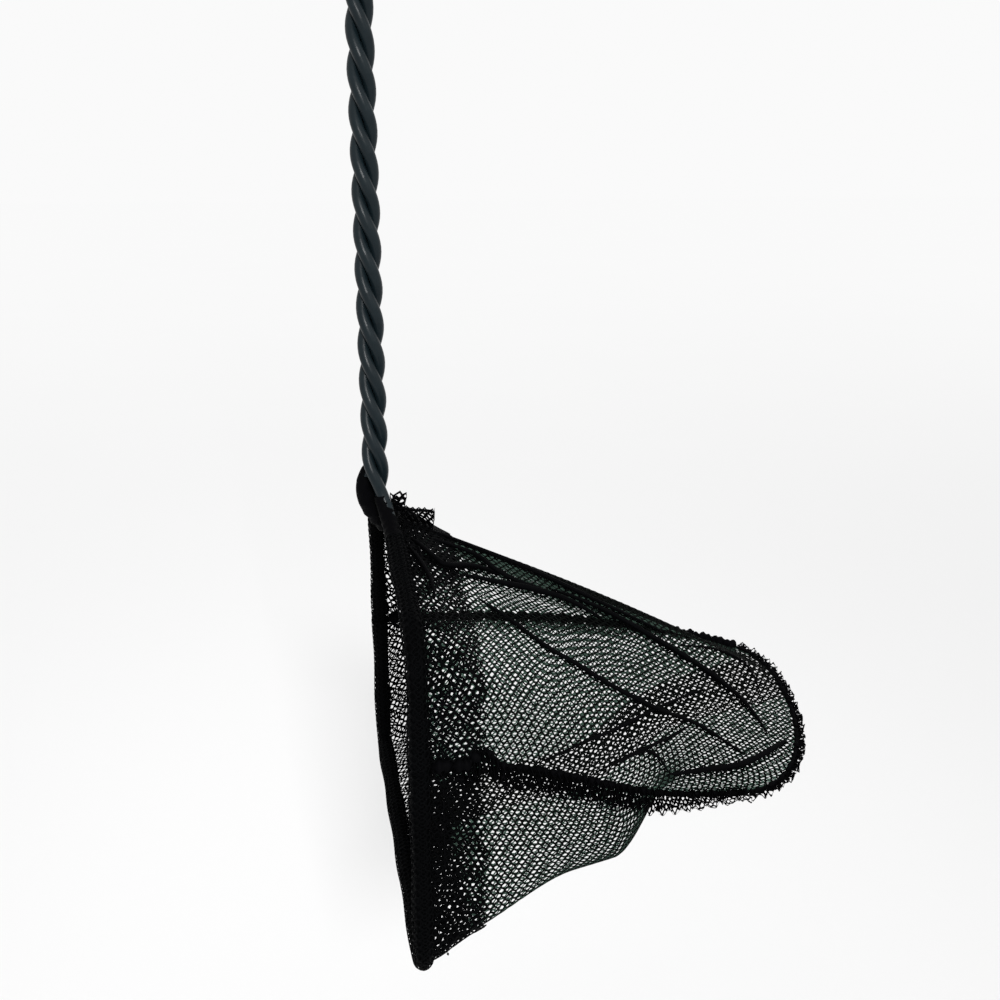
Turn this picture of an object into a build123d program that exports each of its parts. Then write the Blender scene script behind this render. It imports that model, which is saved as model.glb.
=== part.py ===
from build123d import *
import itertools
import math
import os

from OCP.BRepBuilderAPI import BRepBuilderAPI_MakeEdge
from OCP.BRepLib import BRepLib
from OCP.GCE2d import GCE2d_MakeSegment
from OCP.gp import gp_Pnt2d

# Aquarium fish net, in millimetres. The handle points up along +Z, the bag points along +X, and the
# frame's near side is at -Y and its far side at +Y. The origin is on the handle's axis at the foot of
# its twist. Drops are measured down from the middle of the frame's top bar.

# Coated wire
CORE_DIAMETER = 2.2
COAT_THICKNESS = 0.5

# Handle: three strands twisted to the left
STRAND_COUNT = 3
TWIST_PITCH = 29.0
STRAND_GAP = 0.15
HANDLE_LENGTH = 215.0
NECK_HEIGHT = 10.0
NECK_PHASE = 285.0
CUT_END_SETBACK = 1.5

# Hanging eye
EYE_INSIDE = 14.0
EYE_RISE = 15.0

# Frame loop, along the middle of the wire
FRAME_WIDTH = 125.0
FRAME_HEIGHT = 98.0
FRAME_SET_FORWARD = 3.6
SHOULDER_DROP = 11.0
SHOULDER_RADIUS = 14.0
BOTTOM_RADIUS = 7.0
NECK_SPREAD = 13.0

# Net and hem
NET_THICKNESS = 0.6
OPENINGS_ALONG = 10
OPENINGS_ACROSS = 12
OPEN_SHARE = 0.74
HEM_DEPTH = 16.0
CHANNEL_CLEARANCE = 0.3
CHANNEL_WALL = 0.6
CHANNEL_NECK_GAP = 17.0
SEWN_GAP = 0.35
STITCH_DIAMETER = 0.5
STITCH_DEPTH = 5.5

# Seam that joins the two net panels, and where it meets the frame's sides
SEAM_DIAMETER = 2.8
TAIL_TRIM = 1.25
NEAR_SEAM_DROP = 42.0
FAR_SEAM_DROP = 54.0

# Bag: the tail's middle, its two corners, and the belly of the lower panel
BAG_DEPTH = 112.0
TAIL_DROP = 53.0
TAIL_LEAN = 8.0
NEAR_CORNER_BACK = 27.0
NEAR_CORNER_OUT = 55.0
NEAR_CORNER_DROP = 62.0
FAR_CORNER_BACK = 5.0
FAR_CORNER_OUT = 10.0
FAR_CORNER_DROP = 51.0
FAR_CORNER_TURN = 55.0
RIDGE_BOW = 3.2
RIDGE_SLOPE = 0.3
BELLY_RISE = 7.0
BELLY_RISE_DEPTH = 12.0
BELLY_SLOPE = 0.2
BELLY_DEPTH = 51.0
FOLD_DEPTH = 83.0
TAIL_THICKNESS = 9.0

# How square the bag's sections are, 0 straight and 1 square, and how far in the frame shapes them
MOUTH_SQUARENESS = 0.8
BELLY_SQUARENESS = 1.06
TAIL_SQUARENESS = 0.55
MOUTH_REACH = 40.0

# Sampling of the sewn shapes, and how closely a smooth face follows the samples
NET_ROWS = 16
HEM_ROWS = 3
COLUMNS = 40
SEAM_STATIONS = 12
SEAM_MARKS = 150
FIT_TOLERANCE = 0.1

coat_diameter = CORE_DIAMETER + 2 * COAT_THICKNESS
half_width = FRAME_WIDTH / 2
channel_inside = coat_diameter / 2 + CHANNEL_CLEARANCE
channel_outside = channel_inside + CHANNEL_WALL
eye_radius = (EYE_INSIDE + coat_diameter) / 2
seam_margin = SEAM_DIAMETER / 2 + SEWN_GAP
NEAR = -1
FAR = 1
UP = 1
DOWN = -1


def mix(a, b, share):
    """The value a share of the way from a to b."""
    return a + (b - a) * share


def ease(value):
    """A smooth step from 0 to 1."""
    value = min(max(value, 0.0), 1.0)
    return value * value * (3 - 2 * value)


def crowd(value):
    """A share from 0 to 1 whose even steps get shorter towards 1."""
    return value * (3 - value) / 2


def bezier(points, share):
    """The point of a Bezier curve, by repeated mixing of its control points."""
    while len(points) > 1:
        points = [mix(a, b, share) for a, b in zip(points, points[1:])]
    return points[0]


def arc_or_line(start, tangent, end):
    """An arc that leaves start along tangent, or a line where it would not bend."""
    if tangent.get_angle(end - start) < 0.01:
        return Edge.make_line(start, end)
    return Edge.make_tangent_arc(start, tangent, end)


def biarc(start, start_tangent, end, end_tangent):
    """Two arcs that meet smoothly and join two points along their tangents."""
    chord = end - start
    turn = 2 * (1 - start_tangent.dot(end_tangent))
    along = chord.dot(start_tangent + end_tangent)
    if turn < 1e-6:
        reach = chord.dot(chord) / (2 * along)
    else:
        reach = (math.sqrt(along * along + turn * chord.dot(chord)) - along) / turn
    first = start + start_tangent * reach
    last = end - end_tangent * reach
    middle = mix(first, last, 0.5)
    return [
        arc_or_line(start, start_tangent, middle),
        arc_or_line(middle, (last - first).normalized(), end),
    ]


def smooth_path(stations):
    """Arcs through stations, each a point and a unit tangent."""
    edges = []
    for (start, start_tangent), (end, end_tangent) in zip(stations, stations[1:]):
        edges += biarc(start, start_tangent, end, end_tangent)
    return Wire(edges)


def curve_stations(curve, count, step=1e-4):
    """Stations along a curve that is a function of a share from 0 to 1."""
    stations = []
    for index in range(count + 1):
        share = index / count
        before = curve(max(share - step, 0.0))
        after = curve(min(share + step, 1.0))
        stations.append((curve(share), (after - before).normalized()))
    return stations


def tube(path, diameter, bore=0.0):
    """A round bar, or a tube where it has a bore, along a path."""
    section = Circle(diameter / 2)
    if bore:
        section -= Circle(bore / 2)
    return sweep(Plane(path @ 0, z_dir=path % 0) * section, path=path)


# Handle strands


def helix_clearance(radius):
    """The least distance between the centre lines of neighbouring strands."""
    part_turn = 2 * math.pi / STRAND_COUNT
    climb = TWIST_PITCH / (2 * math.pi)
    least = math.inf
    for step in range(0, 120):
        slip = -step * part_turn / 120
        across = 2 * radius * math.sin((part_turn + slip) / 2)
        least = min(least, math.hypot(across, climb * slip))
    return least


def strand_radius():
    """The radius of the strands' centre lines at which neighbours just clear each other."""
    low, high = coat_diameter / 2, 2 * coat_diameter
    for _ in range(40):
        middle = (low + high) / 2
        if helix_clearance(middle) < coat_diameter + STRAND_GAP:
            low = middle
        else:
            high = middle
    return high


lay_radius = strand_radius()
lay_angle = math.atan2(2 * math.pi * lay_radius, TWIST_PITCH)


def strand_station(strand, height):
    """The centre of a strand at a height, and its upward tangent."""
    turn = math.radians(NECK_PHASE + strand * 360 / STRAND_COUNT)
    turn -= 2 * math.pi * height / TWIST_PITCH
    centre = Vector(lay_radius * math.cos(turn), lay_radius * math.sin(turn), height)
    sideways = math.sin(lay_angle)
    tangent = Vector(sideways * math.sin(turn), -sideways * math.cos(turn), math.cos(lay_angle))
    return centre, tangent


def strand_path(strand, bottom, top):
    """One strand as arcs of a quarter turn or less."""
    count = math.ceil(4 * (top - bottom) / TWIST_PITCH)
    return smooth_path([strand_station(strand, mix(bottom, top, i / count)) for i in range(count + 1)])


NEAR_STRAND, FAR_STRAND, RETURN_STRAND = range(STRAND_COUNT)


def eye_path():
    """The hanging eye, from the near strand round to the return strand."""
    start, start_tangent = strand_station(NEAR_STRAND, HANDLE_LENGTH)
    end, end_tangent = strand_station(RETURN_STRAND, HANDLE_LENGTH)
    across = (end - start).normalized()
    centre = mix(start, end, 0.5) + Vector(0, 0, EYE_RISE)
    up = Vector(0, 0, 1)
    return smooth_path([
        (start, start_tangent),
        (centre - across * eye_radius, up),
        (centre + up * eye_radius, across),
        (centre + across * eye_radius, -up),
        (end, -end_tangent),
    ])


# Frame loop


def level(drop):
    """The height of a point that lies a drop below the middle of the frame's top bar."""
    return -NECK_HEIGHT - drop


def frame_point(across, drop):
    """A point in the frame's plane."""
    return Vector(FRAME_SET_FORWARD, across, level(drop))


neck = frame_point(0, 0)
bottom_middle = frame_point(0, FRAME_HEIGHT)


def shoulder(side):
    """Where the top bar and a side would meet without their bend."""
    return frame_point(side * half_width, SHOULDER_DROP)


def bottom_corner(side):
    """Where the bottom bar and a side would meet without their bend."""
    return frame_point(side * half_width, FRAME_HEIGHT)


def top_bar_point(side, across):
    """A point of the sloping top bar."""
    return mix(neck, shoulder(side), across / half_width)


def frame_path():
    """The frame's wire from the near strand round to the far strand."""
    start, start_tangent = strand_station(NEAR_STRAND, 0)
    end, end_tangent = strand_station(FAR_STRAND, 0)
    near_bar = top_bar_point(NEAR, NECK_SPREAD)
    far_bar = top_bar_point(FAR, NECK_SPREAD)
    loop = FilletPolyline(
        near_bar, shoulder(NEAR), bottom_corner(NEAR), bottom_corner(FAR), shoulder(FAR), far_bar,
        radius=[SHOULDER_RADIUS, BOTTOM_RADIUS, BOTTOM_RADIUS, SHOULDER_RADIUS],
    )
    near_bend = biarc(start, -start_tangent, near_bar, (shoulder(NEAR) - neck).normalized())
    far_bend = biarc(far_bar, (neck - shoulder(FAR)).normalized(), end, end_tangent)
    return Wire(near_bend + list(loop.edges()) + far_bend)


def seam_start(side):
    """Where the panels' seam meets a side of the frame."""
    return frame_point(side * half_width, NEAR_SEAM_DROP if side == NEAR else FAR_SEAM_DROP)


def upper_mouth(side, start):
    """The frame from a point of the top bar to the seam on one side."""
    return FilletPolyline(start, shoulder(side), seam_start(side), radius=SHOULDER_RADIUS)


def lower_mouth(side):
    """The frame from the middle of the bottom bar to the seam on one side."""
    return FilletPolyline(bottom_middle, bottom_corner(side), seam_start(side), radius=BOTTOM_RADIUS)


def channel_top_path(side):
    """The stretch of wire that one end of the upper hem goes round."""
    return Wire(upper_mouth(side, top_bar_point(side, CHANNEL_NECK_GAP)).edges())


def channel_bottom_path():
    """The stretch of wire that the lower hem goes round."""
    near_top = seam_start(NEAR) - Vector(0, 0, SEWN_GAP)
    far_top = seam_start(FAR) - Vector(0, 0, SEWN_GAP)
    corners = (near_top, bottom_corner(NEAR), bottom_corner(FAR), far_top)
    return Wire(FilletPolyline(*corners, radius=BOTTOM_RADIUS).edges())


# Bag


def bag_depth(share):
    """The distance along +X of the bag's middle line."""
    return FRAME_SET_FORWARD + BAG_DEPTH * share


tail_middle = Vector(bag_depth(1), -TAIL_LEAN, level(TAIL_DROP))


def tail_corner(side):
    """The tail's corner, where the seam turns from a side into the tail."""
    if side == NEAR:
        return Vector(bag_depth(1) - NEAR_CORNER_BACK, -NEAR_CORNER_OUT, level(NEAR_CORNER_DROP))
    return Vector(bag_depth(1) - FAR_CORNER_BACK, FAR_CORNER_OUT, level(FAR_CORNER_DROP))


def corner_slope(side):
    """How fast a side seam comes in as it reaches the tail's corner."""
    return math.tan(math.radians(FAR_CORNER_TURN)) if side == FAR else 0.0


def side_seam(side, share):
    """The seam along one side of the bag, a Bezier curve from the frame to the tail's corner."""
    start, end = seam_start(side), tail_corner(side)
    handle = BAG_DEPTH / 3
    first = start + Vector(handle, 0, 0)
    last = end - Vector(1, -corner_slope(side), 0).normalized() * handle
    return bezier([start, first, last, end], share)


def ridge(share):
    """The upper panel's middle line, which bows up a little."""
    point = mix(neck, tail_middle, share)
    return point + Vector(0, 0, 4 * RIDGE_BOW * share * (1 - share))


def narrowed(share):
    """How far the upper panel has narrowed towards the tail: evenly along the bag."""
    return share


def folded(share):
    """How far the lower panel has folded up from the belly into the flat tail."""
    return ease((BAG_DEPTH * share - BELLY_DEPTH) / (FOLD_DEPTH - BELLY_DEPTH))


def keel(share):
    """The lower panel's middle line: it rises from the hem into a sloping belly, then folds up."""
    depth = BAG_DEPTH * share
    rise = BELLY_RISE * ease(depth / BELLY_RISE_DEPTH) + BELLY_SLOPE * depth
    belly = FRAME_HEIGHT - rise
    rest = BAG_DEPTH - depth
    tail = TAIL_DROP + TAIL_THICKNESS * rest / (BAG_DEPTH - FOLD_DEPTH)
    return Vector(bag_depth(share), mix(0, -TAIL_LEAN, share), level(mix(belly, tail, folded(share))))


def opening_edges(face, row, column):
    """The edges of one opening, drawn in the face's own coordinates so that they lie on it."""
    margin = (1 - OPEN_SHARE) / 2
    front = (row + margin) / OPENINGS_ALONG
    back = (row + 1 - margin) / OPENINGS_ALONG
    near = (column + margin) / OPENINGS_ACROSS
    far = (column + 1 - margin) / OPENINGS_ACROSS
    corners = [gp_Pnt2d(front, near), gp_Pnt2d(back, near), gp_Pnt2d(back, far), gp_Pnt2d(front, far)]
    edges = []
    for corner, following in zip(corners, corners[1:] + corners[:1]):
        line = GCE2d_MakeSegment(corner, following).Value()
        edge = BRepBuilderAPI_MakeEdge(line, face.geom_adaptor()).Edge()
        BRepLib.BuildCurve3d_s(edge)
        edges.append(Edge(edge))
    return edges


class Panel:
    """One half of the bag, from its middle line to the seam on either side."""

    def __init__(self, facing, middle, slope, squareness, flattening, mouths):
        self.facing = facing
        self.middle = middle
        self.slope = slope
        self.squareness = squareness
        self.flattening = flattening
        self.mouths = mouths

    def section_corner(self, side, share):
        """The point that draws a section of the bag out towards its corner."""
        middle = self.middle(share)
        edge = side_seam(side, share)
        across = edge.Y - corner_slope(side) * (middle.X - edge.X)
        height = middle.Z - self.slope * abs(across - middle.Y)
        return Vector(middle.X, across, mix(height, edge.Z, self.flattening(share)))

    def point(self, share, across):
        """A point of the net: share runs from the frame to the tail, across from near to far."""
        side = NEAR if across < 0 else FAR
        reach = abs(across)
        middle = self.middle(share)
        edge = side_seam(side, share)
        corner = self.section_corner(side, share)
        square = mix(self.squareness, TAIL_SQUARENESS, self.flattening(share))
        free = bezier([middle, mix(middle, corner, square), mix(edge, corner, square), edge], reach)
        moved = mix(middle - self.middle(0), edge - side_seam(side, 0), reach)
        framed = self.mouths[side] @ reach + moved
        return mix(framed, free, ease(BAG_DEPTH * share / MOUTH_REACH))

    def edge_share(self, share, side, thickness):
        """How far across a layer reaches before the seam's bead, by halving the doubtful stretch."""
        clear, covered = 0.0, 1.0
        while covered - clear > 1e-3:
            middle = (clear + covered) / 2
            faces = [self.lifted((share, side * middle), lift) for lift in (0.0, thickness)]
            if min(seam_distance(point) for point in faces) < seam_margin:
                covered = middle
            else:
                clear = middle
        return clear

    def row(self, share, thickness):
        """Places across a layer at one share of the depth, from its near edge to its far edge."""
        near = -self.edge_share(share, NEAR, thickness)
        far = self.edge_share(share, FAR, thickness)
        return [(share, mix(near, far, i / (COLUMNS - 1))) for i in range(COLUMNS)]

    def outward(self, share, across, step=1e-3):
        """The direction away from the inside of the bag, which turns upright over the flat tail."""
        along = self.point(share + step, across) - self.point(share - step, across)
        over = self.point(share, across + step) - self.point(share, across - step)
        normal = along.cross(over).normalized() * self.facing
        return mix(normal, Vector(0, 0, self.facing), ease(2 * share - 1)).normalized()

    def lifted(self, place, lift):
        """The point at a height over a place of the net."""
        return self.point(*place) + self.outward(*place) * lift

    def face(self, rows, lift):
        """One smooth face at a height over rows of places."""
        samples = [[self.lifted(place, lift) for place in row] for row in rows]
        return Face.make_surface_from_array_of_points(samples, tol=FIT_TOLERANCE)

    def layer(self, start, end, count, thickness, openings=()):
        """A closed layer of net between two shares of the depth, as thick as given, with an opening at
        each row and column named."""
        shares = [mix(start, end, crowd(i / count)) for i in range(count + 1)]
        rows = [self.row(share, thickness) for share in shares]
        inner = self.face(rows, 0.0)
        outer = self.face(rows, thickness)
        walls = []
        for edge in inner.edges():
            partner = min(outer.edges(), key=lambda other: (other.center() - edge.center()).length)
            walls.append(Face.make_surface_from_curves(edge, partner))
        if openings:
            below = [opening_edges(inner, row, column) for row, column in openings]
            above = [opening_edges(outer, row, column) for row, column in openings]
            for lower_edges, upper_edges in zip(below, above):
                walls += map(Face.make_surface_from_curves, lower_edges, upper_edges)
            inner = inner.make_holes([Wire(edges) for edges in below])
            outer = outer.make_holes([Wire(edges) for edges in above])
        return Solid(Shell([inner, outer, *walls]))


upper_mouths = {side: upper_mouth(side, neck) for side in (NEAR, FAR)}
lower_mouths = {side: lower_mouth(side) for side in (NEAR, FAR)}
upper_net = Panel(UP, ridge, RIDGE_SLOPE, MOUTH_SQUARENESS, narrowed, upper_mouths)
lower_net = Panel(DOWN, keel, 0.0, BELLY_SQUARENESS, folded, lower_mouths)

hem_start = (channel_outside + SEWN_GAP) / BAG_DEPTH
hem_end = HEM_DEPTH / BAG_DEPTH
net_start = hem_end + SEWN_GAP / BAG_DEPTH
net_end = 1 - TAIL_TRIM * seam_margin / BAG_DEPTH


def tail_seam(share):
    """The seam round the tail, from the near corner to the far corner."""
    return upper_net.point(1.0, 2 * share - 1)


seam_marks = []
for mark in range(SEAM_MARKS + 1):
    place = mark / SEAM_MARKS
    seam_marks += [tuple(side_seam(NEAR, place)), tuple(tail_seam(place)), tuple(side_seam(FAR, place))]


def seam_distance(point):
    """The distance from a point to the seam."""
    place = tuple(point)
    return min(math.dist(place, mark) for mark in seam_marks)


def net_solid(panel):
    """The single layer of net from the hem's raw edge to the tail, opened in a plain grid."""
    openings = list(itertools.product(range(OPENINGS_ALONG), range(OPENINGS_ACROSS)))
    return panel.layer(net_start, net_end, NET_ROWS, NET_THICKNESS, openings)


def hem_solid(panel):
    """The doubled net of the hem, from its channel to its raw edge."""
    return panel.layer(hem_start, hem_end, HEM_ROWS, 2 * NET_THICKNESS)


def stitch_row(panel):
    """The thread that closes the hem channel, lying on the outside of the hem."""
    share = STITCH_DEPTH / BAG_DEPTH
    (_, near), *_, (_, far) = panel.row(share, 2 * NET_THICKNESS)
    lift = 2 * (NET_THICKNESS + SEWN_GAP) + STITCH_DIAMETER / 2

    def thread(along):
        return panel.lifted((share, mix(near, far, along)), lift)

    return tube(smooth_path(curve_stations(thread, COLUMNS, 1e-3)), STITCH_DIAMETER)


def side_seam_solid(side):
    """The overlocked edge along one side of the bag."""

    def centre(along):
        return side_seam(side, mix(hem_start, 1.0, along))

    return tube(smooth_path(curve_stations(centre, SEAM_STATIONS)), SEAM_DIAMETER)


def tail_seam_solid():
    """The overlocked edge round the tail, between the two side seams."""
    gap = SEWN_GAP / BAG_DEPTH

    def centre(along):
        return tail_seam(mix(gap, 1 - gap, along))

    return tube(smooth_path(curve_stations(centre, SEAM_STATIONS)), SEAM_DIAMETER)


# Pieces

pieces = {}


def add_wire(name, path):
    """A stretch of the wire: its steel core and its vinyl coat."""
    pieces[name + "_core"] = tube(path, CORE_DIAMETER)
    pieces[name + "_coat"] = tube(path, coat_diameter, CORE_DIAMETER)


add_wire("frame_loop", frame_path())
add_wire("near_strand", strand_path(NEAR_STRAND, 0, HANDLE_LENGTH))
add_wire("far_strand", strand_path(FAR_STRAND, 0, HANDLE_LENGTH - CUT_END_SETBACK))
add_wire("return_strand", strand_path(RETURN_STRAND, CUT_END_SETBACK, HANDLE_LENGTH))
add_wire("hanging_eye", eye_path())

pieces["near_hem_channel"] = tube(channel_top_path(NEAR), 2 * channel_outside, 2 * channel_inside)
pieces["far_hem_channel"] = tube(channel_top_path(FAR), 2 * channel_outside, 2 * channel_inside)
pieces["lower_hem_channel"] = tube(channel_bottom_path(), 2 * channel_outside, 2 * channel_inside)

for panel_name, panel in (("upper", upper_net), ("lower", lower_net)):
    pieces[panel_name + "_net_panel"] = net_solid(panel)
    pieces[panel_name + "_hem"] = hem_solid(panel)
    pieces[panel_name + "_hem_stitching"] = stitch_row(panel)

pieces["near_side_seam"] = side_seam_solid(NEAR)
pieces["far_side_seam"] = side_seam_solid(FAR)
pieces["tail_seam"] = tail_seam_solid()

os.makedirs("parts", exist_ok=True)
for piece_name, piece in pieces.items():
    export_step(piece, f"parts/{piece_name}.step")
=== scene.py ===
import math

import bpy
import numpy as np
from mathutils import Matrix, Vector


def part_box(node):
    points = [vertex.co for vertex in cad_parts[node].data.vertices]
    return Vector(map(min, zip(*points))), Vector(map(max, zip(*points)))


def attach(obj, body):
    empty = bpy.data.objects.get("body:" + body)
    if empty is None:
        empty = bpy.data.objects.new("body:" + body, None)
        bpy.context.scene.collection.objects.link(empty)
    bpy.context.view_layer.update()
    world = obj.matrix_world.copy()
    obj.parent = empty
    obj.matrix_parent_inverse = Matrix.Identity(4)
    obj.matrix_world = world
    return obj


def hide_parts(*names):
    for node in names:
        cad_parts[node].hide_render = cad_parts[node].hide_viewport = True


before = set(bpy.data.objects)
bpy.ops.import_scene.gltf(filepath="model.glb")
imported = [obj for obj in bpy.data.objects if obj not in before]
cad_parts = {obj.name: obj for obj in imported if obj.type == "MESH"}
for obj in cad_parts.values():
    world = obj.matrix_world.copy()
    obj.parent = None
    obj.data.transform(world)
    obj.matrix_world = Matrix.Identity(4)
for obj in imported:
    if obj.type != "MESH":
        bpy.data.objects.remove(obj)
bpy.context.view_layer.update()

# Aquarium fish net. Lengths are in millimetres until a piece becomes a mesh, in the CAD's frame: the
# handle points up along +Z, the bag along +X, and the near side of the frame is at -Y.
MM = 0.001

# Sizes that the boxes of the CAD nodes do not give
NECK_HEIGHT = 10.0
SHOULDER_DROP = 11.0
SHOULDER_RADIUS = 14.0
BOTTOM_RADIUS = 7.0
BAG_DEPTH = 112.0
HEM_DEPTH = 16.0
HEM_TURN = 13.0
HEM_HUMP = 4.0
TAIL_DROP = 53.0
TAIL_LEAN = 8.0
NEAR_CORNER = (27.0, -55.0, 62.0)
FAR_CORNER = (5.0, 10.0, 51.0)
FAR_CORNER_TURN = 55.0
RIDGE_BOW = 3.2
RIDGE_SLOPE = 0.3
BELLY_RISE = 7.0
BELLY_RISE_DEPTH = 12.0
BELLY_SLOPE = 0.2
BELLY_DEPTH = 51.0
FOLD_DEPTH = 83.0
TAIL_THICKNESS = 9.0
MOUTH_SQUARENESS = 0.8
BELLY_SQUARENESS = 1.06
TAIL_SQUARENESS = 0.55
MOUTH_REACH = 40.0
UPPER_GATHER = (50.0, 12.0)
LOWER_GATHER = (80.0, 30.0)

# Knitted net: cells along the bag, rows of cells round it, and the thread
CELL_PITCH = 1.95
ROW_PITCH = 1.42
LINK_LENGTH = 0.62
CELL_SIDES = 6
CELL_MARGIN = 0.4
THREAD_WIDTH = 0.54
FAR_THREAD_WIDTH = 0.6
GATHERED_THREAD = 0.4
TAIL_THREAD = 0.1
UNEVEN_THREAD = 0.03
THREAD_THICKNESS = 0.3

# Where the net changes on the flat cloth, as depths and as reaches from a panel's middle line
FAR_HALF_BLEND = 30.0
NECK_GATHER = (6.0, -8.0)
NECK_GATHER_REACH = 25.6
NECK_GATHER_BLEND = 16.0
TAIL_THREAD_START = 25.0
TAIL_THREAD_BLEND = 45.0
# Reach from the middle line past which the inner faces get painted light
PAINTED_LIGHT_START = 12.0

# Hem, tucks, seam, sleeves and stitches
HEM_OVERLAP = 2.0
HEM_LAYER_GAP = 0.7
HEM_STRETCH = 0.84
HEM_FULLNESS = 1.25
HEM_EDGE_WANDER = 0.4
HEM_HUMP_WIDTH = 3.2
TUCK_LIFT = 0.35
TUCK_SQUEEZE = 0.26
SEAM_POINTS = 200
SEAM_GATHER = 0.62
SEAM_STITCH = 0.9
BEAD_STEP = 0.5
SLEEVE_START = 10.0
STITCH_DEPTH = 5.5
STITCH_PITCH = 3.2
STITCH_LENGTH = 2.3
STITCH_LIFT = 1.1
STITCH_ARCH = 0.3

# Loose cloth at the neck
FLAP_START = 2.5
FLAP_END = 11.5
FLAP_LENGTH = 10.0
FLAP_HEIGHT = 4.2
FLAP_EDGE = 5.2
TUFT_LENGTH = 7.0
FAR_CUFF = ((3.2, 8.0, -14.0), (0.0, 5.0, -9.0), (-4.8, 3.0, -3.0), (-2.2, 2.0, 5.0))
FAR_CUFF_RADIUS = (2.5, 3.2)
NEAR_CUFF = ((0.9, -1.9, -2.5), (2.2, -1.9, -7.0))
NEAR_CUFF_RADIUS = (1.85, 2.5)
NEAR_CUFF_END = 14.0

NEAR, FAR = -1, 1
UP, DOWN = 1, -1
AXIS_X = np.array([1.0, 0.0, 0.0])
AXIS_Z = np.array([0.0, 0.0, 1.0])


def node_box(node):
    """The lowest and highest corner of a CAD node in millimetres."""
    low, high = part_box(node)
    return np.array(low) / MM, np.array(high) / MM


channel_low, channel_high = node_box("lower_hem_channel")
SLEEVE_RADIUS = (channel_high[0] - channel_low[0]) / 2
FRAME_X = (channel_high[0] + channel_low[0]) / 2
HALF_WIDTH = channel_high[1] - SLEEVE_RADIUS
FRAME_BOTTOM = channel_low[2] + SLEEVE_RADIUS
SEAM_Z = {NEAR: node_box("near_hem_channel")[0][2], FAR: node_box("far_hem_channel")[0][2]}


# Curves and surfaces as whole arrays

def mix(a, b, share):
    """The value a share of the way from a to b."""
    return a + (b - a) * share


def ease(value):
    """A smooth step from 0 to 1: the value's square times three less twice the value."""
    value = np.clip(value, 0.0, 1.0)
    return value * value * (3 - 2 * value)


def unit(vectors):
    """Vectors of length one."""
    return vectors / np.maximum(np.linalg.norm(vectors, axis=-1, keepdims=True), 1e-9)


def point(x, y, z):
    """Points from three coordinates that are numbers or arrays."""
    return np.stack(np.broadcast_arrays(x, y, z), axis=-1).astype(float)


def bezier(points, share):
    """Points of a Bezier curve, by repeated mixing of its control points."""
    share = np.asarray(share, float)[..., None]
    while len(points) > 1:
        points = [mix(a, b, share) for a, b in zip(points, points[1:])]
    return points[0]


def through(points, count):
    """A smooth line through points: cubic pieces whose slopes come from the points beside."""
    points = np.array(points, float)
    slope = np.gradient(points, axis=0)
    place = np.linspace(0, len(points) - 1, count)
    first = np.minimum(place.astype(int), len(points) - 2)
    share = (place - first)[:, None]
    straight = mix(points[first], points[first + 1], ease(share))
    return straight + share * (1 - share) * (slope[first] * (1 - share) - slope[first + 1] * share)


def running_length(line):
    """How far along a line of points each point lies: the sum of the steps before it."""
    steps = np.linalg.norm(np.diff(line, axis=0), axis=1)
    return np.concatenate([[0.0], np.cumsum(steps)])


def line_length(line):
    """The length of a line of points."""
    return running_length(line)[-1]


def between(at, places, values):
    """Vectors between those given at rising places, each coordinate mixed in a straight line."""
    return np.stack([np.interp(at, places, coordinate) for coordinate in values.T], axis=-1)


def along(line, share):
    """Points at shares of the length of a line of points."""
    length = running_length(line)
    return between(np.asarray(share) * length[-1], length, line)


def along_vectors(vectors, share):
    """Unit vectors between those given at even shares of a line."""
    return unit(between(share, np.linspace(0, 1, len(vectors)), vectors))


def rounded(corners, radii):
    """A line through corners with an arc of the given radius at each inner one. A point of the arc is
    the centre plus the first and last spoke, weighed by the sines of the turns to the other one."""
    arc_points = 24
    pieces = [corners[0][None]]
    for before, corner, after, radius in zip(corners, corners[1:], corners[2:], radii):
        back, ahead = unit(before - corner), unit(after - corner)
        half = np.arccos(np.clip(back @ ahead, -1, 1)) / 2
        centre = corner + unit(back + ahead) * radius / math.sin(half)
        first = corner + back * radius / math.tan(half) - centre
        last = corner + ahead * radius / math.tan(half) - centre
        bend = math.pi - 2 * half
        turn = np.linspace(0, bend, arc_points)[:, None]
        arc = (first * np.sin(bend - turn) + last * np.sin(turn)) / math.sin(bend)
        pieces.append(centre + arc)
    pieces.append(corners[-1][None])
    return np.concatenate(pieces)


def sample(grid, rows, columns):
    """Values between the points of a grid, mixed along its rows and columns. Places stay just short of
    the last row and column, so that there is always a next one."""
    short = 1.001
    rows = np.clip(rows, 0, grid.shape[0] - short)
    columns = np.clip(columns, 0, grid.shape[1] - short)
    i, j = rows.astype(int), columns.astype(int)
    p, q = rows - i, columns - j
    if grid.ndim == 3:
        p, q = p[..., None], q[..., None]
    return mix(mix(grid[i, j], grid[i + 1, j], p), mix(grid[i, j + 1], grid[i + 1, j + 1], p), q)


# The frame's outline and the seam

def level(drop):
    """The height of a point that lies a drop below the middle of the frame's top bar."""
    return -NECK_HEIGHT - drop


NECK = point(FRAME_X, 0, level(0))
BOTTOM_MIDDLE = point(FRAME_X, 0, FRAME_BOTTOM)


def shoulder(side):
    """Where the top bar and a side of the frame would meet without their bend."""
    return point(FRAME_X, side * HALF_WIDTH, level(SHOULDER_DROP))


def on_top_bar(side, out):
    """The point of the top bar that lies out from the neck towards a side."""
    return mix(NECK, shoulder(side), out / HALF_WIDTH)


def bottom_corner(side):
    """Where the bottom bar and a side of the frame would meet without their bend."""
    return point(FRAME_X, side * HALF_WIDTH, FRAME_BOTTOM)


def seam_start(side):
    """Where the panels' seam meets a side of the frame."""
    return point(FRAME_X, side * HALF_WIDTH, SEAM_Z[side])


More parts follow.
